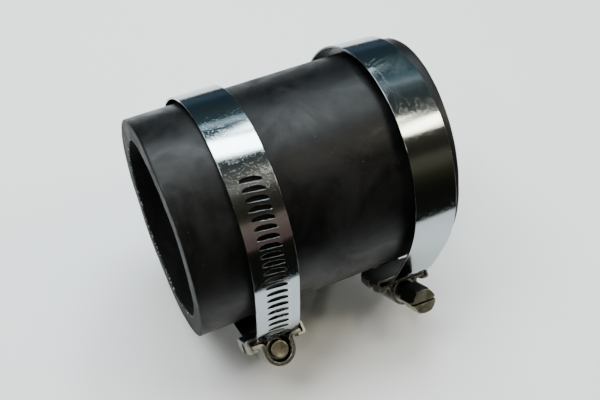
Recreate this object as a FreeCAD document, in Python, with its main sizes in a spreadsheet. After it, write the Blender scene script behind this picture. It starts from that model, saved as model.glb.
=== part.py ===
import FreeCAD, Part
import math
import os
import Sketcher

# A straight rubber sleeve that joins two pipe ends, with a worm-drive hose clamp round each end.
# Frame: X along the sleeve, origin at the middle of its bore, +Z up. The clamps face opposite ways.
# Each clamp is drawn in its own frame: Z is the axis of its ring, +Y points out through the screw
# housing, and X runs along the screw from its head to its tip. The band runs clockwise seen from +Z:
# slotted tail, through the housing under the worm, round the ring, and back in under itself.

doc = FreeCAD.newDocument("Coupling")
sheet = doc.addObject("Spreadsheet::Sheet", "Sizes")

SIZES = [
    # the sleeve
    ("sleeve_length", 100.0),
    ("sleeve_outer_radius", 40.0),
    ("sleeve_bore_radius", 32.5),
    ("skew_cut_about_y", 1.83),
    ("skew_cut_about_z", -4.13),
    # the strip and the closed curve it is bent to, measured to its outer face
    ("band_width", 16.0),
    ("band_thickness", 0.7),
    ("layer_step", 0.8),
    ("ring_radius", 43.9),
    ("flank_radius", 300.0),
    ("flank_angle", 45.0),
    ("seat_radius", 28.0),
    ("tail_length", 3.0),
    ("seat_half_angle", 15.5),
    # the slots that the worm drives
    ("slot_pitch", 3.175),
    ("slot_length", 7.8),
    ("slot_width", 1.8),
    ("slots_behind_worm", 2),
    ("slots_ahead_of_worm", 24),
    # the screw
    ("thread_radius", 4.25),
    ("thread_root_radius", 3.25),
    ("thread_crest_width", 0.5),
    ("thread_base_width", 1.7),
    ("thread_turns", 2.8),
    ("thread_depth_in_slot", 0.55),
    ("neck_radius", 2.7),
    ("collar_radius", 4.4),
    ("collar_thickness", 5.0),
    ("head_across_flats", 9.2),
    ("head_length", 9.8),
    ("driver_slot_width", 1.3),
    ("driver_slot_depth", 1.8),
    # the arched housing
    ("housing_length", 14.0),
    ("housing_outer_radius", 6.0),
    ("housing_room_radius", 4.45),
    ("housing_neck_radius", 2.8),
    ("end_wall", 1.5),
    ("foot_thickness", 1.3),
    ("foot_half_width", 9.5),
    ("foot_half_angle", 13.5),
    # the saddle under the band, with four lips folded over the housing's feet
    ("saddle_thickness", 1.0),
    ("saddle_half_angle", 15.5),
    ("saddle_half_width", 10.9),
    ("saddle_room_half_width", 9.9),
    ("lip_thickness", 0.9),
    ("lip_reach", 2.0),
    ("notch_half_angle", 3.5),
    ("running_gap", 0.1),
    # where the clamps stand on the sleeve
    ("left_x", -24.2),
    ("left_y", 0.55),
    ("left_z", -2.3),
    ("left_lean_y", -0.006),
    ("left_lean_z", 0.030),
    ("left_housing_angle", 33.6),
    ("right_x", 34.6),
    ("right_y", -0.9),
    ("right_z", 0.4),
    ("right_lean_y", 0.002),
    ("right_lean_z", 0.069),
    ("right_housing_angle", 50.3),
]
for row, (alias, value) in enumerate(SIZES, start=1):
    sheet.set(f"A{row}", alias)
    sheet.set(f"B{row}", str(value))
    sheet.setAlias(f"B{row}", alias)
doc.recompute()

X_AXIS = FreeCAD.Vector(1, 0, 0)
Y_AXIS = FreeCAD.Vector(0, 1, 0)
Z_AXIS = FreeCAD.Vector(0, 0, 1)
ALONG_X = FreeCAD.Rotation(Y_AXIS, 90)


def size(alias):
    """A driving dimension, read from the sheet."""
    return float(sheet.get(alias))


def bind(feature, **expressions):
    """Tie properties of a feature to cells of the sheet."""
    for name, expression in expressions.items():
        feature.setExpression(name, expression)
    return feature


def cells(text):
    """Let an expression name the sheet's cells without repeating the sheet's name."""
    for alias, _ in sorted(SIZES, key=lambda item: -len(item[0])):
        text = text.replace("$" + alias, "Sizes." + alias)
    return text


def cylinder(name, radius, height, x_start):
    """A cylinder along X, from x_start, sized by expressions."""
    made = doc.addObject("Part::Cylinder", name)
    bind(made, Radius=cells(radius), Height=cells(height))
    made.Placement.Rotation = ALONG_X
    made.setExpression("Placement.Base.x", cells(x_start))
    return made


# ---- the closed curve of the band, in the clamp's own frame ------------------------------------
# Every stretch is an arc (centre x, centre y, radius, first angle, last angle). Angles run clockwise
# from +Y, and neighbouring arcs share the angle where they meet, so the curve has no kink.

RING = size("ring_radius")
STEP = size("layer_step")
THICK = size("band_thickness")
GAP = size("running_gap")
FLANK = math.radians(size("flank_angle"))
FLANK_REACH = size("flank_radius") - RING
SEAT_RADIUS = size("seat_radius")
SEAT_HALF_ANGLE = math.radians(size("seat_half_angle"))
FULL_TURN = 2 * math.pi
CUT_PAST = 0.5  # how far a cutting shape stands clear of the face that it cuts

flank_x = FLANK_REACH * math.sin(FLANK)
flank_y = -FLANK_REACH * math.cos(FLANK)
SEAT_Y = math.sqrt((size("flank_radius") - SEAT_RADIUS) ** 2 - flank_x**2) + flank_y
BEND = math.atan2(flank_x, SEAT_Y - flank_y)
BAND_TOP = SEAT_Y + SEAT_RADIUS

# the ring's two halves differ a little, so that the strip comes back one layer further out
half_difference = STEP * math.cos(FLANK) / (1 + math.cos(FLANK)) / 2
far_radius = RING - STEP / 2 - half_difference
near_radius = RING - STEP / 2 + half_difference


def along_flank(distance, side):
    """A point at a distance from the ring's middle, towards where a flank meets the ring."""
    return side * distance * math.sin(FLANK), distance * math.cos(FLANK)


ARCS = [
    (0.0, SEAT_Y, SEAT_RADIUS, -SEAT_HALF_ANGLE, BEND),
    (-flank_x, flank_y, size("flank_radius"), BEND, FLANK),
    (*along_flank(RING - near_radius, 1), near_radius, FLANK, math.pi),
    (*along_flank(RING - STEP - far_radius, -1), far_radius, math.pi, FULL_TURN - FLANK),
    (flank_x, flank_y, size("flank_radius") - STEP, FULL_TURN - FLANK, FULL_TURN - BEND),
    (0.0, SEAT_Y, SEAT_RADIUS - STEP, FULL_TURN - BEND, FULL_TURN + SEAT_HALF_ANGLE),
]


def on_arc(arc, angle, inset=0.0):
    """The point of an arc at an angle, moved towards its centre by inset."""
    centre_x, centre_y, radius = arc[:3]
    reach = radius - inset
    return FreeCAD.Vector(centre_x + reach * math.sin(angle), centre_y + reach * math.cos(angle), 0)


def arc_edge(arc, inset=0.0):
    first, last = arc[3:]
    middle = (first + last) / 2
    points = [on_arc(arc, angle, inset) for angle in (first, middle, last)]
    return Part.Arc(*points).toShape()


def tail_end(inset):
    """The strip's free end, straight on from the seat's edge."""
    start = on_arc(ARCS[0], -SEAT_HALF_ANGLE, inset)
    ahead = FreeCAD.Vector(math.cos(SEAT_HALF_ANGLE), math.sin(SEAT_HALF_ANGLE), 0)
    return start - ahead * size("tail_length")


def place_on_band(length):
    """Where a point this far along the outer face from the worm lies, and the angle of its normal."""
    arc = ARCS[0]
    back = SEAT_HALF_ANGLE * SEAT_RADIUS
    if length < -back:
        start = on_arc(arc, -SEAT_HALF_ANGLE)
        ahead = FreeCAD.Vector(math.cos(SEAT_HALF_ANGLE), math.sin(SEAT_HALF_ANGLE), 0)
        return start + ahead * (length + back), -SEAT_HALF_ANGLE
    angle, left = 0.0, length
    for arc in ARCS:
        run = (arc[4] - max(arc[3], 0.0)) * arc[2]
        if left <= run:
            angle = max(arc[3], 0.0) + left / arc[2]
            break
        left -= run
    return on_arc(arc, angle), angle


def slot_cutter():
    """A slot's outline, one side straight and one arched, leaning with the thread."""
    half, wide = size("slot_length") / 2, size("slot_width") / 2
    low, high = FreeCAD.Vector(-wide, 0, -half), FreeCAD.Vector(-wide, 0, half)
    arch = Part.Arc(high, FreeCAD.Vector(wide, 0, 0), low).toShape()
    face = Part.Face(Part.Wire([Part.makeLine(low, high), arch]))
    lead = size("slot_pitch") / (FULL_TURN * size("thread_radius"))
    face.rotate(FreeCAD.Vector(), Y_AXIS, math.degrees(-math.atan(lead)))
    depth = THICK + GAP / 2
    face.translate(Y_AXIS * -depth)
    return face.extrude(Y_AXIS * (depth + CUT_PAST))


def band_shape():
    """The whole strip: its edge-on outline raised to the strip's width, less the slots."""
    outer = [arc_edge(arc) for arc in ARCS]
    inner = [arc_edge(arc, THICK) for arc in ARCS]
    start, end = on_arc(ARCS[0], -SEAT_HALF_ANGLE), FULL_TURN + SEAT_HALF_ANGLE
    edges = [Part.makeLine(tail_end(0.0), start)] + outer
    edges.append(Part.makeLine(on_arc(ARCS[-1], end), on_arc(ARCS[-1], end, THICK)))
    edges += inner[::-1]
    edges.append(Part.makeLine(on_arc(ARCS[0], -SEAT_HALF_ANGLE, THICK), tail_end(THICK)))
    edges.append(Part.makeLine(tail_end(THICK), tail_end(0.0)))
    face = Part.Face(Part.Wire(Part.__sortEdges__(edges)))
    face.translate(Z_AXIS * (-size("band_width") / 2))
    strip = face.extrude(Z_AXIS * size("band_width"))
    cutters = []
    for number in range(-int(size("slots_behind_worm")), int(size("slots_ahead_of_worm")) + 1):
        point, angle = place_on_band((number + 0.5) * size("slot_pitch"))
        cutter = slot_cutter()
        cutter.rotate(FreeCAD.Vector(), Z_AXIS, math.degrees(-angle))
        cutter.translate(point)
        cutters.append(cutter)
    return strip.cut(cutters)


# ---- sketched pieces ----------------------------------------------------------------------------


def plane(body, role):
    """One of a body's own origin planes."""
    return next(feature for feature in body.Origin.OriginFeatures if feature.Role == role)


def new_sketch(body, name, role):
    sketch = body.newObject("Sketcher::SketchObject", name)
    sketch.AttachmentSupport = [(plane(body, role), "")]
    sketch.MapMode = "FlatFace"
    return sketch


def dimension(sketch, name, expression, *constraint):
    """Add a named dimension and tie it to the sheet."""
    index = sketch.addConstraint(Sketcher.Constraint(*constraint))
    sketch.renameConstraint(index, name)
    sketch.setExpression("Constraints." + name, cells(expression))


def seat_sector(body, name, inner, outer, half_angle):
    """A ring sector about the seat's centre, symmetric about +Y, drawn edge-on to the band."""
    sketch = new_sketch(body, name, "XY_Plane")
    centre = FreeCAD.Vector(0, SEAT_Y, 0)
    # a first guess for the solver, which the dimensions then replace
    radii, guess = (20.0, 25.0), math.radians(10)
    start, end = math.pi / 2 - guess, math.pi / 2 + guess
    low, high = (
        sketch.addGeometry(Part.ArcOfCircle(Part.Circle(centre, Z_AXIS, radius), start, end))
        for radius in radii
    )
    corner = [
        [centre + FreeCAD.Vector(radius * math.cos(a), radius * math.sin(a), 0) for a in (start, end)]
        for radius in radii
    ]
    right = sketch.addGeometry(Part.LineSegment(corner[0][0], corner[1][0]))
    left = sketch.addGeometry(Part.LineSegment(corner[0][1], corner[1][1]))
    for line, arc_point in ((right, 1), (left, 2)):
        sketch.addConstraint(Sketcher.Constraint("Coincident", line, 1, low, arc_point))
        sketch.addConstraint(Sketcher.Constraint("Coincident", line, 2, high, arc_point))
    sketch.addConstraint(Sketcher.Constraint("Coincident", low, 3, high, 3))
    sketch.addConstraint(Sketcher.Constraint("PointOnObject", low, 3, -2))
    dimension(sketch, "centre_height", f"{SEAT_Y:.6f}", "DistanceY", -1, 1, low, 3, SEAT_Y)
    dimension(sketch, "inner_radius", inner, "Radius", low, radii[0])
    dimension(sketch, "outer_radius", outer, "Radius", high, radii[1])
    across = 2 * radii[1] * math.sin(guess)
    sketch.addConstraint(Sketcher.Constraint("Horizontal", high, 2, high, 1))
    dimension(
        sketch,
        "across",
        f"2 * ({outer}) * sin(({half_angle}) * 1deg)",
        "DistanceX",
        high,
        2,
        high,
        1,
        across,
    )
    for line in (right, left):
        sketch.addConstraint(Sketcher.Constraint("PointOnObject", low, 3, line))
    return sketch


def arch_sketch(body, name, radius, foot_height, offset):
    """An arch over the worm, seen along the screw: a half circle on two straight legs."""
    sketch = new_sketch(body, name, "YZ_Plane")
    sketch.setExpression("AttachmentOffset.Base.z", cells(offset))
    # a first guess for the solver, which the dimensions then replace
    start_radius, start_foot = 5.0, BAND_TOP
    centre = FreeCAD.Vector(WORM_HEIGHT, 0, 0)
    arc = sketch.addGeometry(
        Part.ArcOfCircle(Part.Circle(centre, Z_AXIS, start_radius), -math.pi / 2, math.pi / 2)
    )
    legs = []
    for side in (-1, 1):
        foot = FreeCAD.Vector(start_foot, side * start_radius, 0)
        top = FreeCAD.Vector(WORM_HEIGHT, side * start_radius, 0)
        legs.append(sketch.addGeometry(Part.LineSegment(foot, top)))
    base = sketch.addGeometry(
        Part.LineSegment(
            FreeCAD.Vector(start_foot, -start_radius, 0), FreeCAD.Vector(start_foot, start_radius, 0)
        )
    )
    for leg, end in ((legs[0], 1), (legs[1], 2)):
        sketch.addConstraint(Sketcher.Constraint("Coincident", leg, 2, arc, end))
        sketch.addConstraint(Sketcher.Constraint("Coincident", leg, 1, base, end))
        sketch.addConstraint(Sketcher.Constraint("Horizontal", leg))
    sketch.addConstraint(Sketcher.Constraint("Vertical", base))
    sketch.addConstraint(Sketcher.Constraint("PointOnObject", arc, 3, -1))
    sketch.addConstraint(Sketcher.Constraint("Vertical", arc, 1, arc, 3))
    dimension(sketch, "height", f"{WORM_HEIGHT:.6f}", "DistanceX", -1, 1, arc, 3, WORM_HEIGHT)
    dimension(sketch, "arch_radius", radius, "Radius", arc, start_radius)
    dimension(sketch, "foot_height", foot_height, "DistanceX", -1, 1, base, 1, start_foot)
    return sketch


def pad(body, name, sketch, length, midplane=True):
    made = body.newObject("PartDesign::Pad", name)
    made.Profile = sketch
    made.Midplane = midplane
    made.setExpression("Length", cells(length))
    doc.recompute()
    return made


def pocket(body, name, sketch, length, midplane=True, reverse=False):
    """Cut a sketch out of the body, and stop if the cut takes nothing away."""
    before = body.Shape.Volume
    made = body.newObject("PartDesign::Pocket", name)
    made.Profile = sketch
    made.Midplane = midplane
    made.Reversed = reverse
    made.setExpression("Length", cells(length))
    doc.recompute()
    if body.Shape.Volume > before - 0.01:
        raise RuntimeError(name + " cuts nothing")
    return made


WORM_HEIGHT = BAND_TOP + size("thread_radius") - size("thread_depth_in_slot")
SEAT_FOOT = "$seat_radius + $running_gap"
SEAT_FOOT_TOP = SEAT_FOOT + " + $foot_thickness"
SADDLE_TOP = "$seat_radius - $layer_step - $band_thickness - $running_gap"


def housing(prefix):
    """The arched housing: two feet over the band, an arch over the worm, and a wall at the head end."""
    body = doc.addObject("PartDesign::Body", prefix + "_housing_body")
    feet = seat_sector(body, prefix + "_feet", SEAT_FOOT, SEAT_FOOT_TOP, "$foot_half_angle")
    pad(body, prefix + "_feet_pad", feet, "2 * $foot_half_width")
    arch_foot = f"{SEAT_Y:.6f} + $seat_radius + $running_gap + $foot_thickness / 4"  # inside the feet
    arch = arch_sketch(body, prefix + "_arch", "$housing_outer_radius", arch_foot, "0")
    pad(body, prefix + "_arch_pad", arch, "$housing_length")
    room_foot = f"{SEAT_Y:.6f} + $seat_radius - $foot_thickness"
    tip_end = "$housing_length / 2"
    room = arch_sketch(body, prefix + "_room", "$housing_room_radius", room_foot, tip_end)
    pocket(body, prefix + "_room_cut", room, "$housing_length - $end_wall", midplane=False)
    neck = arch_sketch(body, prefix + "_neck", "$housing_neck_radius", room_foot, tip_end)
    pocket(body, prefix + "_neck_cut", neck, "$housing_length", midplane=False)
    return body


def saddle(prefix):
    """The saddle: a curved plate under the band, side walls, and lips folded in over the feet."""
    body = doc.addObject("PartDesign::Body", prefix + "_saddle_body")
    base = SADDLE_TOP + " - $saddle_thickness"
    lip_under = SEAT_FOOT_TOP + " + $running_gap"
    lip_top = lip_under + " + $lip_thickness"
    above = lip_top + " + $lip_thickness"
    wide = "1.2 * $saddle_half_angle"
    block = seat_sector(body, prefix + "_block", base, lip_top, "$saddle_half_angle")
    pad(body, prefix + "_block_pad", block, "2 * $saddle_half_width")
    channel = seat_sector(body, prefix + "_channel", SADDLE_TOP, lip_under, wide)
    pocket(body, prefix + "_channel_cut", channel, "2 * $saddle_room_half_width")
    mouth = seat_sector(body, prefix + "_mouth", SEAT_FOOT, above, wide)
    pocket(body, prefix + "_mouth_cut", mouth, "2 * ($saddle_half_width - $lip_reach - $lip_thickness)")
    notch = seat_sector(body, prefix + "_notch", SADDLE_TOP, above, "$notch_half_angle")
    pocket(body, prefix + "_notch_cut", notch, "3 * $saddle_half_width")
    return body


# ---- the screw ----------------------------------------------------------------------------------

HEAD_SIDE = "-$housing_length / 2"
WALL_INSIDE = HEAD_SIDE + " + $end_wall"
THREAD_ROOTED = 0.3  # how far the thread's base is sunk into the core


def screw(prefix):
    """The worm screw along X: threaded core, neck, collar, and a hexagon head with a driver slot."""
    name = prefix + "_screw_"
    gap = " - $running_gap"
    core_length = "$housing_length - $end_wall - $running_gap"
    core = cylinder(name + "core", "$thread_root_radius", core_length, WALL_INSIDE + " + $running_gap")
    neck = cylinder(name + "neck", "$neck_radius", "$end_wall + 2 * $running_gap", HEAD_SIDE + gap)
    collar_start = HEAD_SIDE + gap + " - $collar_thickness"
    collar = cylinder(name + "collar", "$collar_radius", "$collar_thickness", collar_start)
    head = doc.addObject("Part::Prism", name + "head")
    head.Polygon = 6
    head.setExpression("Circumradius", cells("$head_across_flats / sqrt(3)"))
    head.setExpression("Height", cells("$head_length"))
    head.Placement.Rotation = ALONG_X
    head.setExpression("Placement.Base.x", cells(collar_start + " - $head_length"))
    spine = doc.addObject("Part::Helix", name + "spine")
    spine.setExpression("Pitch", cells("$slot_pitch"))
    spine.setExpression("Height", cells("$slot_pitch * $thread_turns"))
    spine.setExpression("Radius", cells("$thread_root_radius"))
    ridge = doc.addObject("Part::Feature", name + "ridge")
    root, crest = size("thread_base_width") / 2, size("thread_crest_width") / 2
    near, far = size("thread_root_radius") - THREAD_ROOTED, size("thread_radius")
    outline = [(near, -root), (near, root), (far, crest), (far, -crest)]
    points = [FreeCAD.Vector(x, 0, z) for x, z in outline + outline[:1]]
    ridge.Shape = Part.makePolygon(points)
    thread = doc.addObject("Part::Sweep", name + "thread")
    thread.Sections = [ridge]
    thread.Spine = (spine, ["Edge1"])
    thread.Solid = True
    thread.Frenet = True
    # half the thread lies each side of the worm's middle, with a crest down in each slot beside it
    to_the_band = 90 - 180 * size("thread_turns")
    thread.Placement.Rotation = FreeCAD.Rotation(X_AXIS, to_the_band).multiply(ALONG_X)
    thread.setExpression("Placement.Base.x", cells("-$slot_pitch * $thread_turns / 2"))
    doc.recompute()
    whole = doc.addObject("Part::MultiFuse", name + "whole")
    whole.Shapes = [core, neck, collar, head, thread]
    blade = doc.addObject("Part::Box", name + "blade")
    bind(
        blade,
        Length=cells("2 * $driver_slot_depth"),
        Width=cells("$driver_slot_width"),
        Height=cells("4 * $collar_radius"),
    )
    blade.setExpression("Placement.Base.x", cells(collar_start + " - $head_length - $driver_slot_depth"))
    blade.setExpression("Placement.Base.y", cells("-$driver_slot_width / 2"))
    blade.setExpression("Placement.Base.z", cells("-2 * $collar_radius"))
    made = doc.addObject("Part::Cut", name + "cut")
    made.Base = whole
    made.Tool = blade
    return made


# ---- the sleeve ---------------------------------------------------------------------------------


def sleeve():
    """A thick tube along X. Its left end is square and its right end is cut a little askew."""
    wall = cylinder("sleeve_wall", "$sleeve_outer_radius", "1.2 * $sleeve_length", "-$sleeve_length / 2")
    bore = cylinder("sleeve_bore", "$sleeve_bore_radius", "1.5 * $sleeve_length", "-0.7 * $sleeve_length")
    tube = doc.addObject("Part::Cut", "sleeve_tube")
    tube.Base = wall
    tube.Tool = bore
    waste = doc.addObject("Part::Box", "sleeve_waste")
    bind(
        waste,
        Length=cells("$sleeve_length / 2"),
        Width=cells("4 * $sleeve_outer_radius"),
        Height=cells("4 * $sleeve_outer_radius"),
    )
    about_y = FreeCAD.Rotation(Y_AXIS, size("skew_cut_about_y"))
    skew = FreeCAD.Rotation(Z_AXIS, size("skew_cut_about_z")).multiply(about_y)
    corner = FreeCAD.Vector(0, -2, -2) * size("sleeve_outer_radius")
    end = FreeCAD.Vector(size("sleeve_length") / 2, 0, 0)
    waste.Placement = FreeCAD.Placement(end + skew.multVec(corner), skew)
    made = doc.addObject("Part::Cut", "sleeve_cut")
    made.Base = tube
    made.Tool = waste
    return made


# ---- the assembly -------------------------------------------------------------------------------


def clamp_place(prefix, facing):
    """Where a clamp's own frame stands: its ring leans a little, and its housing hangs at the front."""
    lean_y, lean_z = size(prefix + "_lean_y"), size(prefix + "_lean_z")
    axis = FreeCAD.Vector(1, -lean_y, -lean_z).normalize() * facing
    angle = math.radians(size(prefix + "_housing_angle"))
    outward = FreeCAD.Vector(0, -math.cos(angle), -math.sin(angle))
    middle = FreeCAD.Vector(size(prefix + "_x"), size(prefix + "_y"), size(prefix + "_z"))
    # the given directions are made square to each other, the axis first and then the way out
    turn = FreeCAD.Rotation(outward.cross(axis), outward, axis, "ZYX")
    return FreeCAD.Placement(middle, turn)


nodes = {"rubber_sleeve": sleeve()}
for prefix, facing in (("left", 1), ("right", -1)):
    place = clamp_place(prefix, facing)
    band = doc.addObject("Part::Feature", prefix + "_band_strip")
    band.Shape = band_shape()
    worm = screw(prefix)
    on_axis = FreeCAD.Placement(Y_AXIS * WORM_HEIGHT, FreeCAD.Rotation())
    pieces = {
        prefix + "_band": (band, place),
        prefix + "_housing": (housing(prefix), place),
        prefix + "_saddle": (saddle(prefix), place),
        prefix + "_worm_screw": (worm, place.multiply(on_axis)),
    }
    for label, (piece, where) in pieces.items():
        piece.Placement = where
        nodes[label] = piece
doc.recompute()

for label, piece in nodes.items():
    piece.Label = label
doc.recompute()

for item in doc.Objects:
    if any(word in ("Invalid", "Error") for word in item.State):
        raise RuntimeError(f"{item.Name} is {item.State}")
os.makedirs("parts", exist_ok=True)
for label, piece in nodes.items():
    if piece.Shape.isNull() or not piece.Shape.isValid():
        raise RuntimeError(label + " has no valid shape")
for label, piece in nodes.items():
    piece.Shape.exportStep(f"parts/{label}.step")
    solids = len(piece.Shape.Solids)
    print(f"{label}: {solids} solid(s), {piece.Shape.Volume / 1000:.2f} cm3")
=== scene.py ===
import bmesh
import bpy
import math
from mathutils import Matrix, Vector, noise

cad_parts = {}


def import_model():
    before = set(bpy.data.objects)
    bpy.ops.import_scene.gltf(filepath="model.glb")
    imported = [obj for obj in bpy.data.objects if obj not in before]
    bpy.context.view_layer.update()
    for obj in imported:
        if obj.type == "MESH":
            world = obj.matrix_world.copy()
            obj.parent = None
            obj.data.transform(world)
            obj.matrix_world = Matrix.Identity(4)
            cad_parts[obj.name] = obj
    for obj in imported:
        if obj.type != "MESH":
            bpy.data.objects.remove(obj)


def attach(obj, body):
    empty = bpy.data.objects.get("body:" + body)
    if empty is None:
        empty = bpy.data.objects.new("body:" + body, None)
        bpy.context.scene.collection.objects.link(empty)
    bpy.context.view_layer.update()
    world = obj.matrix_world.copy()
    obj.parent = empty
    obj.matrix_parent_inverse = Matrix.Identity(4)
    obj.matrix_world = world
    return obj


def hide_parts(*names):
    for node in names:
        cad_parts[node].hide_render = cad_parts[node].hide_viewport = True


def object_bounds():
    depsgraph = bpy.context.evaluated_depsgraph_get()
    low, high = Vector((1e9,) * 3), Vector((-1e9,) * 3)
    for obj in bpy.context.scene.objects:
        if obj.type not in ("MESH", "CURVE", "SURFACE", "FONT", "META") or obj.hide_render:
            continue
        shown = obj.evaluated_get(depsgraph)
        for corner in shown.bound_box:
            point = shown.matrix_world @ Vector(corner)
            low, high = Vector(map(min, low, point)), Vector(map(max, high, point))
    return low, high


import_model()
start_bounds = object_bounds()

# A rubber pipe coupling with a loose worm-drive clamp round each end, seen from above and in front.
# Lengths in the pieces below are in millimetres; every mesh is scaled to metres when it is made.
MM = 0.001
FULL_TURN = 2 * math.pi

# ---- sizes shared with the CAD part --------------------------------------------------------------

SLEEVE_LENGTH, SLEEVE_RADIUS, BORE_RADIUS = 100.0, 40.0, 32.5
SKEW_PER_Y, SKEW_PER_Z = 0.0723, 0.0319  # how far the right end reaches out per unit of y and z

BAND_THICKNESS, LAYER_STEP = 0.7, 0.8
RING_RADIUS, FLANK_RADIUS, FLANK_ANGLE = 43.9, 300.0, math.radians(45)
SEAT_RADIUS, SEAT_HALF_ANGLE, TAIL_LENGTH = 28.0, math.radians(15.5), 3.0
SLOT_PITCH, SLOT_LENGTH, SLOT_WIDTH = 3.175, 7.8, 1.8
SLOTS_BEHIND, SLOTS_AHEAD = 2, 24
THREAD_RADIUS, THREAD_ROOT, THREAD_TURNS, THREAD_IN_SLOT = 4.25, 3.25, 2.8, 0.55
HEAD_FLATS, HEAD_LENGTH, COLLAR_RADIUS, COLLAR_THICKNESS, NECK_RADIUS = 9.2, 9.8, 4.4, 5.0, 2.7
HOUSING_HALF, HOUSING_OUTER, HOUSING_ROOM, HOUSING_NECK, END_WALL = 7.0, 6.0, 4.45, 2.8, 1.5
FOOT_THICKNESS, FOOT_HALF_WIDTH, GAP = 1.3, 9.5, 0.1
SADDLE_THICKNESS, SADDLE_HALF_WIDTH, SADDLE_HALF_ANGLE = 1.0, 10.9, math.radians(15.5)
LIP_THICKNESS, LIP_REACH, NOTCH_HALF_ANGLE = 0.9, 2.0, math.radians(3.5)

# centres of the band's tangent arcs, the angle where they meet, and how high the worm lies over them
FLANK_X = (FLANK_RADIUS - RING_RADIUS) * math.sin(FLANK_ANGLE)
FLANK_Y = -(FLANK_RADIUS - RING_RADIUS) * math.cos(FLANK_ANGLE)
SEAT_Y = math.sqrt((FLANK_RADIUS - SEAT_RADIUS) ** 2 - FLANK_X**2) + FLANK_Y
BEND = math.atan2(FLANK_X, SEAT_Y - FLANK_Y)
BAND_TOP = SEAT_Y + SEAT_RADIUS
WORM_HEIGHT = BAND_TOP + THREAD_RADIUS - THREAD_IN_SLOT

# ring middle, how far the ring's plane reaches along x per unit of y and of z, angle of the housing
# below the front, and the way the clamp faces
CLAMPS = {
    "left": (Vector((-24.2, 0.55, -2.3)), -0.006, 0.030, math.radians(33.6), 1),
    "right": (Vector((34.6, -0.9, 0.4)), 0.002, 0.069, math.radians(50.3), -1),
}


def clamp_matrix(side):
    """Clamp frame to row frame, in millimetres: z along the ring's axis, +y out through the housing."""
    middle, lean_y, lean_z, angle, facing = CLAMPS[side]
    axis = Vector((1, -lean_y, -lean_z)).normalized() * facing
    outward = Vector((0, -math.cos(angle), -math.sin(angle)))
    outward = (outward - axis * outward.dot(axis)).normalized()
    along = outward.cross(axis)
    turn = Matrix((along, outward, axis)).transposed().to_4x4()
    return Matrix.Translation(middle) @ turn


# ---- making pieces -------------------------------------------------------------------------------

WELD = 0.004  # points nearer than this are made one
BAND_EDGE, HOUSING_EDGE, SADDLE_EDGE, HEAD_EDGE = 0.16, 0.22, 0.2, 0.15  # widths of the worn edges


def add_object(name, data):
    made = bpy.data.objects.new(name, data)
    bpy.context.scene.collection.objects.link(made)
    return made


def piece(name, vertices, faces, place=None):
    """A mesh object from points in millimetres, put in the row frame in metres."""
    to_row = Matrix.Scale(MM, 4) @ (place or Matrix.Identity(4))
    mesh = bpy.data.meshes.new(name)
    mesh.from_pydata([to_row @ Vector(point) for point in vertices], [], faces)
    mesh.validate()
    made = add_object(name, mesh)
    tidy = bmesh.new()
    tidy.from_mesh(mesh)
    bmesh.ops.remove_doubles(tidy, verts=tidy.verts, dist=WELD * MM)
    bmesh.ops.recalc_face_normals(tidy, faces=tidy.faces)
    tidy.to_mesh(mesh)
    tidy.free()
    for face in mesh.polygons:
        face.use_smooth = True
    return made


def round_edges(made, width, angle=35):
    bevel = made.modifiers.new("worn edges", "BEVEL")
    bevel.width = width * MM
    bevel.segments = 3
    bevel.limit_method = "ANGLE"
    bevel.angle_limit = math.radians(angle)
    bevel.harden_normals = True


def thicken(made, thickness, offset=-1.0):
    shell = made.modifiers.new("sheet", "SOLIDIFY")
    shell.thickness = thickness * MM
    shell.offset = offset
    shell.use_even_offset = True


def finish_piece(made, body, material, node=None):
    """Material, body and slot; of the pieces that make up a node, the first one replaces it."""
    made.data.materials.append(material)
    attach(made, body)
    if node:
        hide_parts(node)


def strip_faces(rows, columns, closed=False):
    """Quads over a grid of points stored row by row."""
    faces = []
    for row in range(rows - 1):
        for column in range(columns if closed else columns - 1):
            after = (column + 1) % columns
            first, second = row * columns, (row + 1) * columns
            faces.append((first + column, first + after, second + after, second + column))
    return faces


# ---- the sleeve ----------------------------------------------------------------------------------

# how far the hand-cut ends wander and how closely the waves lie, for the long and the short waves
LONG_WANDER, LONG_WAVES, SHORT_WANDER, SHORT_WAVES = 0.22, 0.055, 0.10, 0.21
LEFT_TRIM, RIGHT_TRIM = 0.3, 0.1  # keeps the wandering cuts inside the CAD part's ends
SWELL, SWELL_TRIM = 0.06, 0.04  # the outside isn't quite round

# worn edges of the cut: (how far in from the cut face, how far below the surface)
OUTER_EDGE = [(0.0, 1.05), (0.02, 0.70), (0.09, 0.35), (0.3, 0.08), (0.7, 0.0)]
BORE_EDGE = [(0.0, 1.05), (0.02, 0.56), (0.09, 0.245), (0.3, 0.08), (0.7, 0.0)]
EDGE_DEPTH = OUTER_EDGE[-1][0]


def sleeve_end(x_sign, angle, radius):
    """Where an end face lies at this angle and radius: cut by hand, so not quite flat."""
    y, z = radius * math.cos(angle), radius * math.sin(angle)
    # the third coordinate gives each end waves of its own
    wander = LONG_WANDER * noise.noise(Vector((y, z, 7 * x_sign)) * LONG_WAVES)
    wander += SHORT_WANDER * noise.noise(Vector((y, z, 3 * x_sign)) * SHORT_WAVES)
    if x_sign > 0:
        return SLEEVE_LENGTH / 2 + SKEW_PER_Y * y + SKEW_PER_Z * z + wander - RIGHT_TRIM
    return -SLEEVE_LENGTH / 2 - wander + LEFT_TRIM


def outer_surface(part, angle):
    spot = Vector((part * 9, 3 * math.cos(angle), 3 * math.sin(angle)))
    return SLEEVE_RADIUS + SWELL * noise.noise(spot) - SWELL_TRIM


def bore_surface(part, angle):
    return BORE_RADIUS


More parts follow.
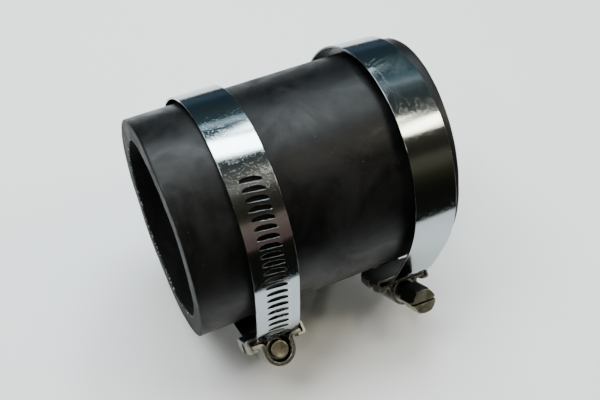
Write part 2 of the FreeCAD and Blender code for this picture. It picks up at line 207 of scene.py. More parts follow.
def sleeve():
    """One closed skin of rings: left cut face, outside, right cut face, and back along the bore."""
    columns, outer_steps, bore_steps, wall_steps = 288, 90, 12, 6
    rows = []
    wall = SLEEVE_RADIUS - BORE_RADIUS
    cut_face = [(inset, BORE_RADIUS + depth) for inset, depth in BORE_EDGE[::-1]]
    cut_face += [(0.0, BORE_RADIUS + wall * step / wall_steps) for step in range(2, wall_steps - 1)]
    cut_face += [(inset, SLEEVE_RADIUS - depth) for inset, depth in OUTER_EDGE]

    def add_ring(x_at, radius_at):
        points = []
        for column in range(columns):
            angle = FULL_TURN * column / columns
            x, radius = x_at(angle), radius_at(angle)
            points.append((x, radius * math.cos(angle), radius * math.sin(angle)))
        rows.append(points)

    def add_cut_face(sign, profile):
        for inset, radius in profile:
            add_ring(lambda angle: sleeve_end(sign, angle, radius) - sign * inset, lambda angle: radius)

    def add_length(sign, steps, radius, surface):
        """Rings that start inside the end of this sign and run to the other end."""
        for step in range(1, steps):
            part = step / steps

            def x_at(angle):
                first = sleeve_end(sign, angle, radius) - sign * EDGE_DEPTH
                last = sleeve_end(-sign, angle, radius) + sign * EDGE_DEPTH
                return first + (last - first) * part

            add_ring(x_at, lambda angle: surface(part, angle))

    add_cut_face(-1, cut_face)
    add_length(-1, outer_steps, SLEEVE_RADIUS, outer_surface)
    add_cut_face(1, cut_face[::-1])
    add_length(1, bore_steps, BORE_RADIUS, bore_surface)
    rows.append(rows[0])
    vertices = [point for points in rows for point in points]
    return piece("sleeve_skin", vertices, strip_faces(len(rows), columns, closed=True))


# ---- the band ------------------------------------------------------------------------------------

# the ring's two halves differ a little, so that the strip comes back one layer below its start
HALF_DIFFERENCE = LAYER_STEP * math.cos(FLANK_ANGLE) / (1 + math.cos(FLANK_ANGLE)) / 2
FAR_RADIUS = RING_RADIUS - LAYER_STEP / 2 - HALF_DIFFERENCE
NEAR_RADIUS = RING_RADIUS - LAYER_STEP / 2 + HALF_DIFFERENCE


def along_flank(distance, side):
    return side * distance * math.sin(FLANK_ANGLE), distance * math.cos(FLANK_ANGLE)


LAST_FLANK = FULL_TURN - FLANK_ANGLE

# arcs of the band's outer face: centre x, centre y, radius, first and last angle clockwise from +y
ARCS = [
    (0.0, SEAT_Y, SEAT_RADIUS, -SEAT_HALF_ANGLE, BEND),
    (-FLANK_X, FLANK_Y, FLANK_RADIUS, BEND, FLANK_ANGLE),
    (*along_flank(RING_RADIUS - NEAR_RADIUS, 1), NEAR_RADIUS, FLANK_ANGLE, math.pi),
    (*along_flank(RING_RADIUS - LAYER_STEP - FAR_RADIUS, -1), FAR_RADIUS, math.pi, LAST_FLANK),
    (FLANK_X, FLANK_Y, FLANK_RADIUS - LAYER_STEP, LAST_FLANK, FULL_TURN - BEND),
    (0.0, SEAT_Y, SEAT_RADIUS - LAYER_STEP, FULL_TURN - BEND, FULL_TURN + SEAT_HALF_ANGLE),
]
BAND_START = -SEAT_HALF_ANGLE * SEAT_RADIUS - TAIL_LENGTH
BAND_END = -SEAT_HALF_ANGLE * SEAT_RADIUS + sum((last - first) * r for _, _, r, first, last in ARCS)


def on_band(length):
    """The point this far along the outer face from the worm."""
    back = SEAT_HALF_ANGLE * SEAT_RADIUS
    if length < -back:
        start = Vector((-math.sin(SEAT_HALF_ANGLE), math.cos(SEAT_HALF_ANGLE), 0)) * SEAT_RADIUS
        ahead = Vector((math.cos(SEAT_HALF_ANGLE), math.sin(SEAT_HALF_ANGLE), 0))
        return start + Vector((0, SEAT_Y, 0)) + ahead * (length + back)
    left = length + back
    for x, y, radius, first, last in ARCS:
        run = (last - first) * radius
        if left <= run:
            break
        left -= run
    angle = first + left / radius
    reach = Vector((math.sin(angle), math.cos(angle), 0)) * radius
    return Vector((x, y, 0)) + reach


CELL_HALF = 4.9  # half the width of the slotted middle of the band
CELL_LEVELS = [-CELL_HALF, -3.6, -2.3, -0.8, 0.8, 2.3, 3.6, CELL_HALF]
EDGE_LEVELS = [6.0, 7.2, 7.75, 8.0]  # from the slotted middle out to the band's edge
SLOT_LEVELS = [-0.97, -0.72, -0.45, -0.15, 0.15, 0.45, 0.72, 0.97]  # in half slot lengths
SLOT_BOW, SLOT_TIP = 1.05, 0.9  # how far the arched side bows, and where the tips lie, in half widths
PLAIN_STEP = 1.6  # length of a facet where the band has no slots


def slot_ring(lean):
    """A slot's outline in step with the ring of its cell: straight side up, tip, arched side down, tip."""
    half, wide = SLOT_LENGTH / 2, SLOT_WIDTH / 2
    straight = [(-wide, half * share) for share in SLOT_LEVELS]
    arched = [(wide * (1 - SLOT_BOW * abs(share) ** 3), half * share) for share in SLOT_LEVELS[::-1]]
    outline = straight + [(-wide * SLOT_TIP, half)] + arched + [(-wide * SLOT_TIP, -half)]
    return [
        (x * math.cos(lean) - z * math.sin(lean), x * math.sin(lean) + z * math.cos(lean))
        for x, z in outline
    ]


def band(side, material):
    """The strip as one sheet bent to its curve, with its slots, then thickened inwards."""
    lean = math.atan(SLOT_PITCH / (FULL_TURN * THREAD_RADIUS))
    vertices, faces = [], []

    def add(points):
        first = len(vertices)
        vertices.extend(on_band(length) + Vector((0, 0, across)) for length, across in points)
        return list(range(first, first + len(points)))

    def patch(lengths, levels):
        numbers = add([(length, level) for length in lengths for level in levels])
        first = numbers[0]
        faces.extend(tuple(first + n for n in face) for face in strip_faces(len(lengths), len(levels)))

    half = SLOT_PITCH / 2
    for number in range(-SLOTS_BEHIND, SLOTS_AHEAD + 1):
        middle = (number + 0.5) * SLOT_PITCH
        cell = [(middle - half, level) for level in CELL_LEVELS] + [(middle, CELL_HALF)]
        cell += [(middle + half, level) for level in CELL_LEVELS[::-1]] + [(middle, -CELL_HALF)]
        hole = [(middle + x, z) for x, z in slot_ring(lean)]
        outside, inside = add(cell), add(hole)
        for index in range(len(cell)):
            after = (index + 1) % len(cell)
            faces.append((outside[index], outside[after], inside[after], inside[index]))
        columns = [middle - half, middle, middle + half]
        patch(columns, [CELL_HALF] + EDGE_LEVELS)
        patch(columns, [-CELL_HALF] + [-level for level in EDGE_LEVELS])
    every_level = [-level for level in EDGE_LEVELS[::-1]] + CELL_LEVELS + EDGE_LEVELS
    tail = (BAND_START, -SLOTS_BEHIND * SLOT_PITCH)
    fixed_part = ((SLOTS_AHEAD + 1) * SLOT_PITCH, BAND_END)
    for first, last in (tail, fixed_part):
        steps = max(2, round(abs(last - first) / PLAIN_STEP))
        patch([first + (last - first) * step / steps for step in range(steps + 1)], every_level)
    place = clamp_matrix(side)
    made = piece(side + "_band_strip", vertices, faces, place)
    # the sheet thickens away from its normals, so they have to point out of the ring
    outward = place.to_3x3() @ Vector((0, 1, 0))
    top = max(made.data.polygons, key=lambda face: face.center.dot(outward))
    if top.normal.dot(outward) < 0:
        made.data.flip_normals()
    thicken(made, BAND_THICKNESS)
    round_edges(made, BAND_EDGE)
    finish_piece(made, side + "_clamp", material, side + "_band")


# ---- the housing and saddle ----------------------------------------------------------------------

SHEET_TRIM = 0.05  # keeps the bent sheets inside the CAD part


def seat_height(radius, x):
    return SEAT_Y + math.sqrt(radius**2 - x**2)


def housing_outline():
    """Half of it, seen along the screw: (across, height, share of the seat's curve that it follows)."""
    middle = (HOUSING_OUTER + HOUSING_ROOM) / 2
    arch_steps, fold_steps, fold = 12, 4, 1.3
    points = []
    for step in range(arch_steps + 1):
        angle = math.pi / 2 * step / arch_steps
        points.append((middle * math.sin(angle), WORM_HEIGHT + middle * math.cos(angle), 0.0))
    foot = seat_height(SEAT_RADIUS + GAP + FOOT_THICKNESS / 2, 0)
    points.append((middle, (WORM_HEIGHT + foot + fold) / 2, 0.3))
    for step in range(fold_steps + 1):
        angle = math.pi / 2 * step / fold_steps
        across = middle + fold * (1 - math.cos(angle))
        points.append((across, foot + fold * (1 - math.sin(angle)), 0.6 + 0.1 * step))
    points.append((FOOT_HALF_WIDTH - SHEET_TRIM, foot, 1.0))
    return points


def housing(side, material):
    """The arched pressing, as a sheet whose feet follow the seat's curve."""
    half_outline = housing_outline()
    outline = [(-across, height, share) for across, height, share in half_outline[:0:-1]] + half_outline
    steps = 16
    stations = [HOUSING_HALF * (-1 + 2 * step / steps) for step in range(steps + 1)]
    vertices = []
    for x in stations:
        sag = seat_height(SEAT_RADIUS + GAP, x) - seat_height(SEAT_RADIUS + GAP, 0)
        for across, height, share in outline:
            vertices.append((x, height + sag * share, across))
    faces = strip_faces(len(stations), len(outline))
    made = piece(side + "_housing_shell", vertices, faces, clamp_matrix(side))
    thicken(made, HOUSING_OUTER - HOUSING_ROOM - SHEET_TRIM, offset=0.0)
    round_edges(made, HOUSING_EDGE)
    finish_piece(made, side + "_clamp", material, side + "_housing")


def end_wall(side, material):
    """The wall at the head end, with the hole that the neck turns in, cut off level over the band."""
    steps, chamfer, over_band = 32, 0.2, 0.4
    low = seat_height(SEAT_RADIUS + GAP, HOUSING_HALF) + over_band
    front, back = -HOUSING_HALF, -HOUSING_HALF + END_WALL
    inner, outer = HOUSING_NECK, HOUSING_ROOM + 0.5
    outline = [(inner, front + chamfer), (inner + chamfer, front)]
    outline += [(outer - chamfer, front), (outer, front + chamfer)]
    outline += [(outer, back - chamfer), (outer - chamfer, back)]
    outline += [(inner + chamfer, back), (inner, back - chamfer), (inner, front + chamfer)]
    vertices = []
    for radius, x in outline:
        for step in range(steps):
            angle = FULL_TURN * step / steps
            y = max(WORM_HEIGHT + radius * math.cos(angle), low)
            vertices.append((x, y, radius * math.sin(angle)))
    faces = strip_faces(len(outline), steps, closed=True)
    made = piece(side + "_housing_wall", vertices, faces, clamp_matrix(side))
    finish_piece(made, side + "_clamp", material)


def saddle(side, material):
    """A folded sheet: base under the band, walls beside it, and lips over the housing's feet."""
    middle = SADDLE_THICKNESS / 2
    base = SEAT_RADIUS - LAYER_STEP - BAND_THICKNESS - GAP - middle
    lip = SEAT_RADIUS + GAP + FOOT_THICKNESS + GAP + LIP_THICKNESS / 2
    wall = SADDLE_HALF_WIDTH - middle
    fold = 0.55
    fold_angles = [math.pi / 2 * step / 3 for step in range(4)]
    half_path = [(across, base) for across in (0.0, 3.0, 6.0)]
    for angle in fold_angles:
        half_path.append((wall - fold + fold * math.sin(angle), base + fold - fold * math.cos(angle)))
    first_upright = len(half_path) - 1
    half_path += [(wall, base + (lip - base) * part) for part in (0.35, 0.6)]
    for angle in fold_angles:
        half_path.append((wall - fold + fold * math.cos(angle), lip - fold + fold * math.sin(angle)))
    half_path.append((SADDLE_HALF_WIDTH - LIP_REACH - LIP_THICKNESS, lip))
    path = [(-across, radius) for across, radius in half_path[:0:-1]] + half_path
    uprights = len(half_path) - 1 - first_upright
    angles = [SADDLE_HALF_ANGLE * part for part in (-1, -0.8, -0.6, -0.42)]
    angles += [-NOTCH_HALF_ANGLE, -NOTCH_HALF_ANGLE / 2, 0, NOTCH_HALF_ANGLE / 2, NOTCH_HALF_ANGLE]
    angles += [-angle for angle in angles[3::-1]]
    vertices = []
    for angle in angles:
        for across, radius in path:
            vertices.append((radius * math.sin(angle), SEAT_Y + radius * math.cos(angle), across))
    faces = []
    # a notch takes away the middle of both side walls, so that two lips are left on each side
    for face in strip_faces(len(angles), len(path)):
        row, column = divmod(face[0], len(path))
        in_notch = abs(angles[row] + angles[row + 1]) / 2 < NOTCH_HALF_ANGLE
        upright = column < uprights or column >= len(path) - 1 - uprights
        if not (in_notch and upright):
            faces.append(face)
    made = piece(side + "_saddle_sheet", vertices, faces, clamp_matrix(side))
    thicken(made, LIP_THICKNESS, offset=0.0)
    round_edges(made, SADDLE_EDGE)
    finish_piece(made, side + "_clamp", material, side + "_saddle")


# ---- the worm screw ------------------------------------------------------------------------------


def circle(x, radius, steps):
    """Points round the x axis."""
    angles = [FULL_TURN * step / steps for step in range(steps)]
    return [(x, radius * math.cos(angle), radius * math.sin(angle)) for angle in angles]


def lathe(name, outline, place):
    """Turn (x, radius) points about x."""
    steps = 48
    vertices = [point for x, radius in outline for point in circle(x, radius, steps)]
    return piece(name, vertices, strip_faces(len(outline), steps, closed=True), place)


def saw_driver_slot(name, mesh, tip):
    """The mesh with a slot sawn across its end at this x."""
    deep, half_wide, half_long, clear = 1.8, 0.65, 6.0, 1
    corners = [
        (x, y, z)
        for x in (tip - clear, tip + deep)
        for y in (-half_wide, half_wide)
        for z in (-half_long, half_long)
    ]
    sides = [(0, 1, 3, 2), (4, 6, 7, 5), (0, 4, 5, 1), (2, 3, 7, 6), (0, 2, 6, 4), (1, 5, 7, 3)]
    blade_mesh = bpy.data.meshes.new("blade")
    blade_mesh.from_pydata(corners, [], sides)
    uncut, blade = add_object(name, mesh), add_object("blade", blade_mesh)
    cut = uncut.modifiers.new("driver slot", "BOOLEAN")
    cut.object = blade
    cut.solver = "EXACT"
    bpy.context.view_layer.update()
    graph = bpy.context.evaluated_depsgraph_get()
    sawn = bpy.data.meshes.new_from_object(uncut.evaluated_get(graph))
    bpy.data.objects.remove(uncut)
    bpy.data.objects.remove(blade)
    return sawn


def hexagon_head(name, place):
    """A hexagon with chamfered corners and a driver slot."""
    outer = -HOUSING_HALF - GAP - COLLAR_THICKNESS
    tip = outer - HEAD_LENGTH
    corner = HEAD_FLATS / math.sqrt(3)
    steps = 36
    # (x, share of the corner's reach that is left)
    outline = [(outer, 0.96), (outer - 0.25, 1.0), (tip + 0.7, 1.0), (tip, 0.88)]
    build = bmesh.new()
    rings = []
    for x, share in outline:
        ring = []
        for step in range(steps):
            angle = FULL_TURN * step / steps
            off_corner = (angle + math.pi / 6) % (math.pi / 3) - math.pi / 6
            flat = HEAD_FLATS / 2 / math.cos(math.pi / 6 - abs(off_corner))
            reach = min(flat, corner * share)
            ring.append(build.verts.new((x, reach * math.sin(angle), reach * math.cos(angle))))
        rings.append(ring)
    for near, far in zip(rings, rings[1:]):
        for step in range(steps):
            after = (step + 1) % steps
            build.faces.new((near[step], near[after], far[after], far[step]))
    build.faces.new(rings[0])
    build.faces.new(rings[-1])
    bmesh.ops.recalc_face_normals(build, faces=build.faces)
    mesh = bpy.data.meshes.new(name)
    build.to_mesh(mesh)
    build.free()
    sawn = saw_driver_slot(name, mesh, tip)
    points = [tuple(vertex.co) for vertex in sawn.vertices]
    faces = [tuple(face.vertices) for face in sawn.polygons]
    made = piece(name, points, faces, place)
    round_edges(made, HEAD_EDGE, angle=28)
    return made


def thread(name, place):
    """The worm's ridge, sunk a little into the core and fading out at both ends."""
    steps, fade_steps = 150, 9
    root, crest = 0.85, 0.3  # half widths of the ridge
    sunk, soft, softer = 0.3, 0.08, 0.05
    rows = []
    for step in range(steps + 1):
        turn = THREAD_TURNS * (step / steps - 0.5)
        angle = FULL_TURN * turn
        x = SLOT_PITCH * turn
        fade = min(1.0, min(step, steps - step) / fade_steps)
        top = THREAD_ROOT + (THREAD_RADIUS - THREAD_ROOT) * fade
        section = [(-root, THREAD_ROOT - sunk), (-crest - soft, top - soft), (-crest + softer, top)]
        section += [(crest - softer, top), (crest + soft, top - soft), (root, THREAD_ROOT - sunk)]
        rows.append([(x + dx, r * math.cos(angle), r * math.sin(angle)) for dx, r in section])
    vertices = [point for points in rows for point in points]
    across, total = len(rows[0]), len(vertices)
    faces = strip_faces(len(rows), across, closed=True)
    faces += [tuple(range(across)), tuple(range(total - across, total))]
    return piece(name, vertices, faces, place)


def screw(side, material):
    place = clamp_matrix(side) @ Matrix.Translation((0, WORM_HEIGHT, 0))
    collar = -HOUSING_HALF - GAP
    inside = -HOUSING_HALF + END_WALL + GAP
    tip = HOUSING_HALF
    chamfer = 0.2
    outline = [(collar - COLLAR_THICKNESS, 0.0), (collar - COLLAR_THICKNESS, COLLAR_RADIUS - chamfer)]
    outline += [(collar - COLLAR_THICKNESS + chamfer, COLLAR_RADIUS), (collar - chamfer, COLLAR_RADIUS)]
    outline += [(collar, COLLAR_RADIUS - chamfer), (collar, NECK_RADIUS), (inside, NECK_RADIUS)]
    outline += [(inside, THREAD_ROOT), (tip - 0.35, THREAD_ROOT)]
    # the tip's worn edge and its dished middle
    outline += [(tip - 0.1, THREAD_ROOT - 0.12), (tip, THREAD_ROOT - 0.35), (tip - 0.08, THREAD_ROOT - 0.7)]
    outline += [(tip - 0.22, 1.4), (tip - 0.3, 0.6), (tip - 0.3, 0.0)]
    shaft = lathe(side + "_screw_shaft", outline, place)
    finish_piece(shaft, side + "_worm", material, side + "_worm_screw")
    for part in (hexagon_head(side + "_screw_head", place), thread(side + "_screw_thread", place)):
        finish_piece(part, side + "_worm", material)


# ---- materials -----------------------------------------------------------------------------------

SHARE, FIRST_COLOUR, SECOND_COLOUR, MIXED_COLOUR = 0, 6, 7, 2  # sockets of a mix node set to colour


class Nodes:
    """Builds a material's node tree with few words."""

    def __init__(self, name):
        self.material = bpy.data.materials.new(name)
        self.material.use_nodes = True
        self.tree = self.material.node_tree
        self.shader = self.tree.nodes["Principled BSDF"]
        coordinates = self.tree.nodes.new("ShaderNodeTexCoord")
        self.place = coordinates.outputs["Object"]
        self.facing = coordinates.outputs["Normal"]

    def link(self, start, end):
        self.tree.links.new(start, end)

    def feed(self, socket, value):
        if isinstance(value, bpy.types.NodeSocket):
            self.link(value, socket)
        else:
            socket.default_value = value

    def stretched(self, scale, turn=(0, 0, 0)):
        node = self.tree.nodes.new("ShaderNodeMapping")
        node.inputs["Scale"].default_value = scale
        node.inputs["Rotation"].default_value = turn
        self.link(self.place, node.inputs["Vector"])
        return node.outputs["Vector"]

    def noise(self, scale, detail=4.0, roughness=0.55, vector=None, distortion=0.0):
        node = self.tree.nodes.new("ShaderNodeTexNoise")
        node.inputs["Scale"].default_value = scale
        node.inputs["Detail"].default_value = detail
        node.inputs["Roughness"].default_value = roughness
        node.inputs["Distortion"].default_value = distortion
        self.link(vector or self.place, node.inputs["Vector"])
        return node.outputs["Fac"]

    def ramp(self, value, low, high, low_value=0.0, high_value=1.0):
        node = self.tree.nodes.new("ShaderNodeMapRange")
        node.inputs["From Min"].default_value = low
        node.inputs["From Max"].default_value = high
        node.inputs["To Min"].default_value = low_value
        node.inputs["To Max"].default_value = high_value
        self.link(value, node.inputs["Value"])
        return node.outputs["Result"]

    def mix(self, share, first, second):
        node = self.tree.nodes.new("ShaderNodeMix")
        node.data_type = "RGBA"
        self.feed(node.inputs[SHARE], share)
        self.feed(node.inputs[FIRST_COLOUR], first)
        self.feed(node.inputs[SECOND_COLOUR], second)
        return node.outputs[MIXED_COLOUR]

    def calc(self, operation, first, second):
        node = self.tree.nodes.new("ShaderNodeMath")
        node.operation = operation
        self.feed(node.inputs[0], first)
        self.feed(node.inputs[1], second)
        return node.outputs[0]

    def vector_calc(self, operation, *vectors):
        node = self.tree.nodes.new("ShaderNodeVectorMath")
        node.operation = operation
        for socket, vector in zip(node.inputs, vectors):
            self.link(vector, socket)
        return node.outputs

    def split(self, vector):
        node = self.tree.nodes.new("ShaderNodeSeparateXYZ")
        self.link(vector, node.inputs[0])
        return node.outputs

    def bump(self, heights):
        """Bumps laid one over another: (height, strength, distance in metres)."""
        normal = None
        for height, strength, distance in heights:
            node = self.tree.nodes.new("ShaderNodeBump")
            node.inputs["Strength"].default_value = strength
            node.inputs["Distance"].default_value = distance
            self.link(height, node.inputs["Height"])
            if normal is not None:
                self.link(normal, node.inputs["Normal"])
            normal = node.outputs["Normal"]
        self.link(normal, self.shader.inputs["Normal"])

    def set(self, **values):
        for name, value in values.items():
            self.feed(self.shader.inputs[name.replace("_", " ")], value)


def rubber():
    """Dull black rubber with dusty smears and specks; its cut ends are greyer, with knife marks, and have
    painted light towards the top; the bore has painted shade.
    """
    black, smeared = (0.0012, 0.0012, 0.0014, 1), (0.0065, 0.0065, 0.0065, 1)
    dusty, speck = (0.016, 0.015, 0.014, 1), (0.11, 0.105, 0.10, 1)
    cut_dark, cut_chalky = (0.010, 0.010, 0.010, 1), (0.045, 0.045, 0.042, 1)
    unlit, nicked = (0.0006, 0.0006, 0.0006, 1), (0.30, 0.30, 0.28, 1)
    n = Nodes("rubber")
    dust = n.ramp(n.noise(120, detail=8, roughness=0.75), 0.55, 0.8)
    smears = n.ramp(n.noise(38, detail=7, roughness=0.65, distortion=1.2), 0.44, 0.60)
    specks = n.ramp(n.noise(1500, detail=2), 0.72, 0.78)
    colour = n.mix(smears, black, smeared)
    colour = n.mix(n.calc("MULTIPLY", dust, 0.4), colour, dusty)
    colour = n.mix(n.calc("MULTIPLY", specks, 0.6), colour, speck)

    # the cut ends face along x; their greyer, knife-marked colour fades in towards the top, which is
    # painted light on the upper cut face
    endwise = n.calc("ABSOLUTE", n.split(n.facing)["X"], 0.0)
    cut = n.ramp(endwise, 0.6, 0.9)
    painted_top_light = n.ramp(n.split(n.place)["Z"], -0.025, 0.02, 0.15, 1.0)
    marks = n.noise(700, detail=5, vector=n.stretched((1, 0.25, 1.6), (0.7, 0, 0)))
    chalk = n.mix(n.ramp(marks, 0.35, 0.7), cut_dark, cut_chalky)

    # the bore is painted with shade, near black, and its edge has small pale nicks
    edge_starts, edge_ends = BORE_RADIUS * MM + 0.0009, BORE_RADIUS * MM + 0.0003
    off_axis = n.vector_calc("LENGTH", n.stretched((0, 1, 1)))["Value"]
    near_bore = n.ramp(off_axis, edge_starts, edge_ends)
    bore = n.calc("MULTIPLY", near_bore, n.ramp(endwise, 0.3, 0.1))
    nicks = n.calc("MULTIPLY", near_bore, n.ramp(n.noise(900, detail=3), 0.56, 0.64))
    nicks = n.calc("MULTIPLY", nicks, n.ramp(endwise, 0.15, 0.4))
    # the cut-face colour, weighted by the painted light towards the top
    colour = n.mix(n.calc("MULTIPLY", cut, painted_top_light), colour, chalk)
    # painted shade over the bore
    colour = n.mix(bore, colour, unlit)
    colour = n.mix(nicks, colour, nicked)

    rough = n.ramp(n.noise(48, detail=8, roughness=0.7, distortion=0.8), 0.38, 0.62, 0.32, 0.56)
    rough = n.calc("ADD", rough, n.calc("MULTIPLY", cut, 0.25))
    rough = n.calc("ADD", rough, n.calc("MULTIPLY", bore, 0.45))
    n.set(Base_Color=colour, Roughness=rough, Specular_IOR_Level=0.20)
    grain = n.noise(2600, detail=3)
    pores = n.noise(420, detail=4)
    knife = n.calc("MULTIPLY", marks, cut)
    n.bump([(pores, 0.06, 0.0002), (grain, 0.12, 0.00006), (knife, 0.3, 0.0003)])
    return n.material


def metal(name, dull, bright, spot, rubbed_and_glint, rough, grain, spotted, patch, dents):
    """Plated steel: soft patches, drawn grain, scratches, dents, edges lightened partly as rubbed metal and
    partly as painted glints, and painted shade on faces turned towards the middle.

    rough is the lowest and highest roughness, grain and patch are noise scales, and spotted and dents
    say how strongly the spots and the dents show.
    """
    # colour of the painted shade on faces turned inwards
    painted_shade = (0.012, 0.012, 0.010, 1)
    n = Nodes(name)
    patches = n.ramp(n.noise(patch, detail=4, distortion=0.5), 0.38, 0.66)
    spots = n.ramp(n.noise(900, detail=5, roughness=0.7), 0.6, 0.75)
    edges = n.ramp(n.tree.nodes.new("ShaderNodeNewGeometry").outputs["Pointiness"], 0.53, 0.62)
    colour = n.mix(patches, dull, bright)
    colour = n.mix(n.calc("MULTIPLY", spots, spotted), colour, spot)
    # edges found by pointiness are lightened: partly rubbed metal, partly painted glints
    colour = n.mix(n.calc("MULTIPLY", edges, 0.85), colour, rubbed_and_glint)

    # faces that look towards the middle of the coupling get painted shade, and are rougher
    outward = n.vector_calc("NORMALIZE", n.place)["Vector"]
    inward_shade = n.ramp(n.vector_calc("DOT_PRODUCT", n.facing, outward)["Value"], -0.2, -0.6)
    colour = n.mix(inward_shade, colour, painted_shade)

    # a few of many small cells are dents
    cells = n.tree.nodes.new("ShaderNodeTexVoronoi")
    cells.inputs["Scale"].default_value = 3600
    n.link(n.place, cells.inputs["Vector"])
    pick = n.tree.nodes.new("ShaderNodeSeparateColor")
    n.link(cells.outputs["Color"], pick.inputs[0])
    pits = n.calc("MULTIPLY", cells.outputs["Distance"], n.calc("POWER", pick.outputs[0], 24.0))

    lines = n.noise(grain, detail=6, roughness=0.7, vector=n.stretched((9, 1, 1)))
    streaks = n.noise(420, detail=3, vector=n.stretched((1, 14, 14), (0.5, 0.2, 0.9)))
    scratches = n.ramp(streaks, 0.66, 0.72)
    roughness = n.ramp(lines, 0.3, 0.7, *rough)
    roughness = n.calc("ADD", roughness, n.calc("MULTIPLY", scratches, 0.10))
    roughness = n.calc("ADD", roughness, n.calc("MULTIPLY", inward_shade, 0.2))
    n.set(Base_Color=colour, Roughness=roughness, Metallic=1.0)
    waves, grit = n.noise(140, detail=2), n.noise(2600, detail=2)
    n.bump(
        [
            (lines, 0.05, 0.0001),
            (waves, 0.01, 0.0006),
            (grit, 0.5, 0.00002),
            (scratches, 0.12, 0.00004),
            (pits, dents, 0.0001),
        ]
    )
    return n.material


RUBBER = rubber()
# in each finish below, the rubbed colour lightens the edges: partly rubbed metal, partly painted glints
ZINC = metal(
    "bright zinc",
    dull=(0.35, 0.395, 0.415, 1),
    bright=(0.39, 0.43, 0.445, 1),
    spot=(0.22, 0.25, 0.25, 1),
    rubbed_and_glint=(0.75, 0.80, 0.82, 1),
    rough=(0.05, 0.10),
    grain=1500,
    spotted=0.4,
    patch=70,
    dents=0.14,
)
STEEL = metal(
    "housing steel",
    dull=(0.25, 0.25, 0.21, 1),
    bright=(0.42, 0.42, 0.37, 1),
    spot=(0.06, 0.055, 0.045, 1),
    rubbed_and_glint=(0.80, 0.79, 0.70, 1),
    rough=(0.20, 0.36),
    grain=1800,
    spotted=0.8,
    patch=200,
    dents=0.6,
)
YELLOW = metal(
    "yellow zinc",
    dull=(0.20, 0.19, 0.125, 1),
    bright=(0.50, 0.47, 0.36, 1),
    spot=(0.05, 0.045, 0.03, 1),
    rubbed_and_glint=(0.82, 0.77, 0.58, 1),
    rough=(0.26, 0.46),
    grain=1800,
    spotted=0.9,
    patch=260,
    dents=0.9,
)

finish_piece(sleeve(), "sleeve", RUBBER, "rubber_sleeve")
for side in CLAMPS:
    band(side, ZINC)
    housing(side, STEEL)
    end_wall(side, STEEL)
    saddle(side, STEEL)
    screw(side, YELLOW)

# ---- floor, light and camera ---------------------------------------------------------------------

FLOOR_Z = start_bounds[0].z


def floor():
    """A pale table top whose front edge runs a little askew in front of the object."""
    half_width, front, back, askew = 0.8, -0.137, 0.36, -0.35
    grey, pale = (0.89, 0.905, 0.91, 1), (0.92, 0.935, 0.94, 1)
    corners = [(-half_width, back, 0), (-half_width, front - askew * half_width, 0)]
    corners += [(half_width, front + askew * half_width, 0), (half_width, back, 0)]
    mesh = bpy.data.meshes.new("floor")
    mesh.from_pydata(corners, [], [(0, 1, 2, 3)])
    made = add_object("floor", mesh)
    made.location.z = FLOOR_Z
    n = Nodes("floor")
    tone = n.ramp(n.noise(9, detail=3), 0.3, 0.7)
    n.set(Base_Color=n.mix(tone, grey, pale), Roughness=0.75)
    n.bump([(n.noise(700, detail=2), 0.03, 0.0001)])
    mesh.materials.append(n.material)


# name, place, the point it faces, width and height in metres, power in watts, colour
SOFTBOXES = [
    ("white light behind", (0.14, 0.19, 0.585), (0, 0, 0.04), (0.24, 0.15), 2.6, (0.88, 0.97, 1.0)),
    ("sky over the middle", (0.225, 0.36, 0.46), (0.005, 0, 0.04), (0.09, 0.24), 1.0, (0.82, 0.95, 1.0)),
    ("sky over the left end", (-0.01, 0.34, 0.52), (-0.04, 0, 0.04), (0.14, 0.20), 1.8, (0.82, 0.95, 1.0)),
    (
        "warm light in front",
        (0.362, -0.205, 0.505),
        (0.035, -0.02, 0.039),
        (0.12, 0.065),
        0.5,
        (1.0, 0.92, 0.68),
    ),
    (
        "warm lamp over the middle",
        (0.268, -0.13, 0.56),
        (0.005, -0.02, 0.04),
        (0.10, 0.13),
        0.5,
        (1.0, 0.90, 0.72),
    ),
    (
        "dim window behind",
        (0.137, 0.43, 0.437),
        (-0.024, 0.005, 0.041),
        (0.15, 0.07),
        0.03,
        (0.72, 0.93, 1.0),
    ),
    (
        "reddish glow in front",
        (0.14, -0.555, 0.26),
        (-0.024, -0.03, 0.02),
        (0.14, 0.26),
        0.019,
        (1.0, 0.58, 0.60),
    ),
    ("soft fill overhead", (-0.25, 0.12, 0.60), (0, 0, 0), (0.35, 0.35), 4.4, (0.98, 1.0, 1.0)),
    (
        "small lamp on the left",
        (-0.30, -0.30, 0.42),
        (0.035, -0.03, -0.03),
        (0.05, 0.05),
        0.35,
        (1.0, 0.98, 0.92),
    ),
    ("key from the right", (0.75, -0.15, 0.42), (0, 0, 0), (0.25, 0.25), 2, (1.0, 0.97, 0.93)),
]


def softbox(name, place, target, size, power, colour):
    light = bpy.data.lights.new(name, "AREA")
    light.shape = "RECTANGLE"
    light.size, light.size_y = size
    light.energy = power
    light.color = colour
    made = add_object(name, light)
    made.location = place
    made.rotation_mode = "QUATERNION"
    made.rotation_quaternion = (Vector(target) - Vector(place)).to_track_quat("-Z", "Y")


def camera():
    """In front and above, a little to the left, rolled so that the sleeve rises to the right.

    It is placed level with the sleeve first, and then lifted about the sleeve's axis.
    """
    turn, nod, roll, lift = -0.2826, -0.0230, 0.3386, math.radians(56)
    left, back = 2.0896, 7.3795  # from the sleeve's middle, in sleeve radii
    upright = Matrix.Rotation(-lift, 3, "X")
    aim = Matrix.Rotation(turn, 3, "Z") @ Matrix.Rotation(nod, 3, "X") @ Matrix.Rotation(roll, 3, "Y")
    right, forward, up = (upright @ aim.col[index] for index in range(3))
    place = upright @ (Vector((-left, -back, 0)) * SLEEVE_RADIUS * MM)
    data = bpy.data.cameras.new("camera")
    data.lens, data.sensor_width = 50.17, 36.0
    data.clip_start = 0.01
    made = add_object("camera", data)
    made.matrix_world = Matrix.Translation(place) @ Matrix((right, up, -forward)).transposed().to_4x4()
    bpy.context.scene.camera = made


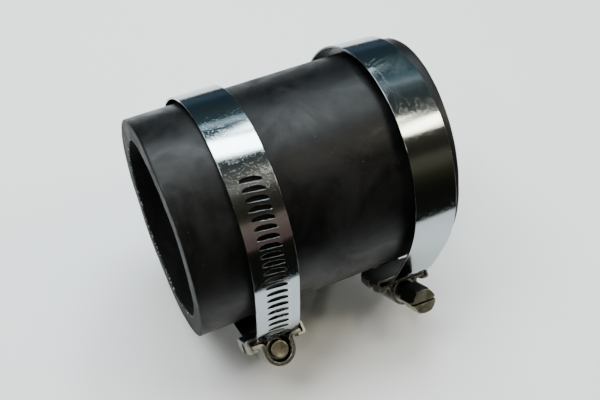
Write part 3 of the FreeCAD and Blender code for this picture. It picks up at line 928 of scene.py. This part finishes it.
# what the room shows round the sleeve's axis, in degrees from the front horizon (0) over the top (90)
# to the back horizon (180); below the horizons the floor hides most of it
ROOM = [
    (-90, (0.013, 0.014, 0.013)),
    (3, (0.014, 0.014, 0.010)),
    (10, (0.020, 0.018, 0.011)),
    (20, (0.045, 0.045, 0.025)),
    (29, (0.13, 0.12, 0.08)),
    (36, (0.15, 0.13, 0.09)),
    (42, (0.045, 0.04, 0.028)),
    (50, (0.05, 0.044, 0.032)),
    (56, (0.07, 0.062, 0.048)),
    (62, (0.12, 0.11, 0.085)),
    (69, (0.38, 0.36, 0.31)),
    (76, (0.20, 0.19, 0.165)),
    (83, (0.17, 0.17, 0.165)),
    (90, (0.09, 0.10, 0.09)),
    (103, (0.07, 0.09, 0.085)),
    (112, (0.12, 0.15, 0.15)),
    (117, (0.40, 0.47, 0.50)),
    (123, (0.155, 0.24, 0.28)),
    (130, (0.063, 0.114, 0.145)),
    (141, (0.07, 0.12, 0.13)),
    (160, (0.042, 0.068, 0.077)),
    (172, (0.03, 0.06, 0.08)),
    (181, (0.08, 0.125, 0.18)),
    (190, (0.06, 0.085, 0.115)),
    (270, (0.05, 0.07, 0.09)),
]


def world():
    """A dim room whose tones change with the angle about the sleeve's axis; the camera sees it plain."""
    plain = (0.80, 0.81, 0.82, 1)
    made = bpy.data.worlds.new("room")
    made.use_nodes = True
    tree = made.node_tree
    split = tree.nodes.new("ShaderNodeSeparateXYZ")
    tree.links.new(tree.nodes.new("ShaderNodeTexCoord").outputs["Generated"], split.inputs[0])
    past_top = tree.nodes.new("ShaderNodeMath")
    past_top.operation = "ARCTAN2"
    tree.links.new(split.outputs["Y"], past_top.inputs[0])
    tree.links.new(split.outputs["Z"], past_top.inputs[1])
    share = tree.nodes.new("ShaderNodeMath")
    share.operation = "MULTIPLY_ADD"
    share.inputs[1].default_value = 1 / FULL_TURN
    share.inputs[2].default_value = 0.5
    tree.links.new(past_top.outputs[0], share.inputs[0])
    tones = tree.nodes.new("ShaderNodeValToRGB")
    ramp = tones.color_ramp
    start = ROOM[0][0]
    for degrees, _ in ROOM[1:-1]:
        ramp.elements.new((degrees - start) / 360)
    for element, (degrees, colour) in zip(ramp.elements, ROOM):
        element.position = (degrees - start) / 360
        element.color = (*colour, 1)
    tree.links.new(share.outputs[0], tones.inputs["Fac"])
    background = tree.nodes["Background"]
    tree.links.new(tones.outputs["Color"], background.inputs["Color"])
    backdrop = tree.nodes.new("ShaderNodeBackground")
    backdrop.inputs["Color"].default_value = plain
    seen = tree.nodes.new("ShaderNodeMixShader")
    tree.links.new(tree.nodes.new("ShaderNodeLightPath").outputs["Is Camera Ray"], seen.inputs[0])
    tree.links.new(background.outputs[0], seen.inputs[1])
    tree.links.new(backdrop.outputs[0], seen.inputs[2])
    tree.links.new(seen.outputs[0], tree.nodes["World Output"].inputs["Surface"])
    bpy.context.scene.world = made


floor()
world()
for values in SOFTBOXES:
    softbox(*values)
camera()
